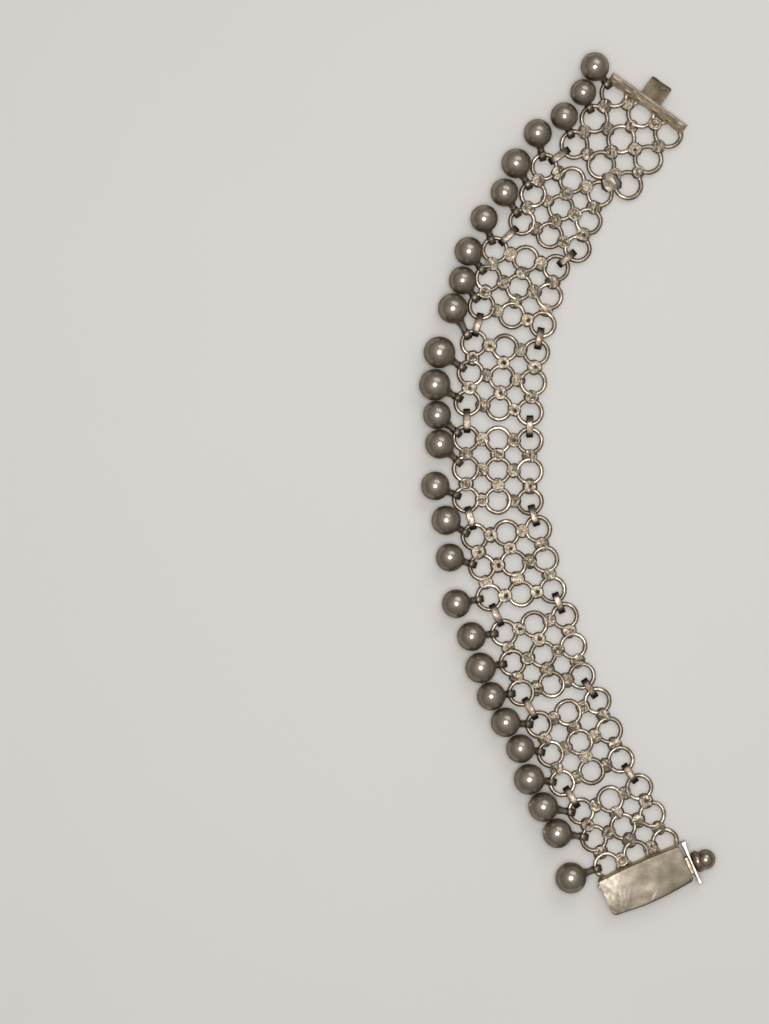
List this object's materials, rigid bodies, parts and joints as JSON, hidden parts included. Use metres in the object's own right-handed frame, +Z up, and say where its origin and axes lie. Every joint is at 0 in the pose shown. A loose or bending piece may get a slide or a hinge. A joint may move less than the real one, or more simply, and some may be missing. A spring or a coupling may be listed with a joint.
{
  "type": "anklet",
  "caption": "Flexible anklet of square ring-work panels joined by strap links, with a fringe of ball drops down one side and a box-and-tongue clasp locked by a sliding pin.",
  "frame": {"origin": "middle of the base of the whole anklet as it lies open, on the surface it lies on", "axes": "+Z up, +Y along its length from the clasp box end to the tongue end, +X away from the ball drops"},
  "size_m": [0.0828, 0.2404, 0.0089],
  "materials": {
    "silver": "tarnished silver, worn bright on the high places",
    "dark_silver": "smooth silver darkened by tarnish"
  },
  "bodies": {
    "anklet": {"panel_1": "silver", "panel_2": "silver", "panel_3": "silver", "panel_4": "silver", "panel_5": "silver", "panel_6": "silver", "panel_7": "silver", "panel_8": "silver", "panel_9": "silver", "tongue_plate": "silver", "clasp_box": "silver", "bell_side_links": "silver", "plain_side_links": "silver", "bell_01": "dark_silver", "bell_02": "dark_silver", "bell_03": "dark_silver", "bell_04": "dark_silver", "bell_05": "dark_silver", "bell_06": "dark_silver", "bell_07": "dark_silver", "bell_08": "dark_silver", "bell_09": "dark_silver", "bell_10": "dark_silver", "bell_11": "dark_silver", "bell_12": "dark_silver", "bell_13": "dark_silver", "bell_14": "dark_silver", "bell_15": "dark_silver", "bell_16": "dark_silver", "bell_17": "dark_silver", "bell_18": "dark_silver", "bell_19": "dark_silver", "bell_20": "dark_silver", "bell_21": "dark_silver", "bell_22": "dark_silver", "bell_23": "dark_silver", "bell_24": "dark_silver", "bell_25": "dark_silver", "bell_26": "dark_silver", "bell_27": "dark_silver"},
    "pin": {"clasp_pin": "silver"}
  },
  "joints": [
    {"name": "pin_slide", "type": "slide", "parent": "anklet", "child": "pin", "axis": [0.9135, 0.4067, 0], "range_m": [0, 0.024]}
  ]
}
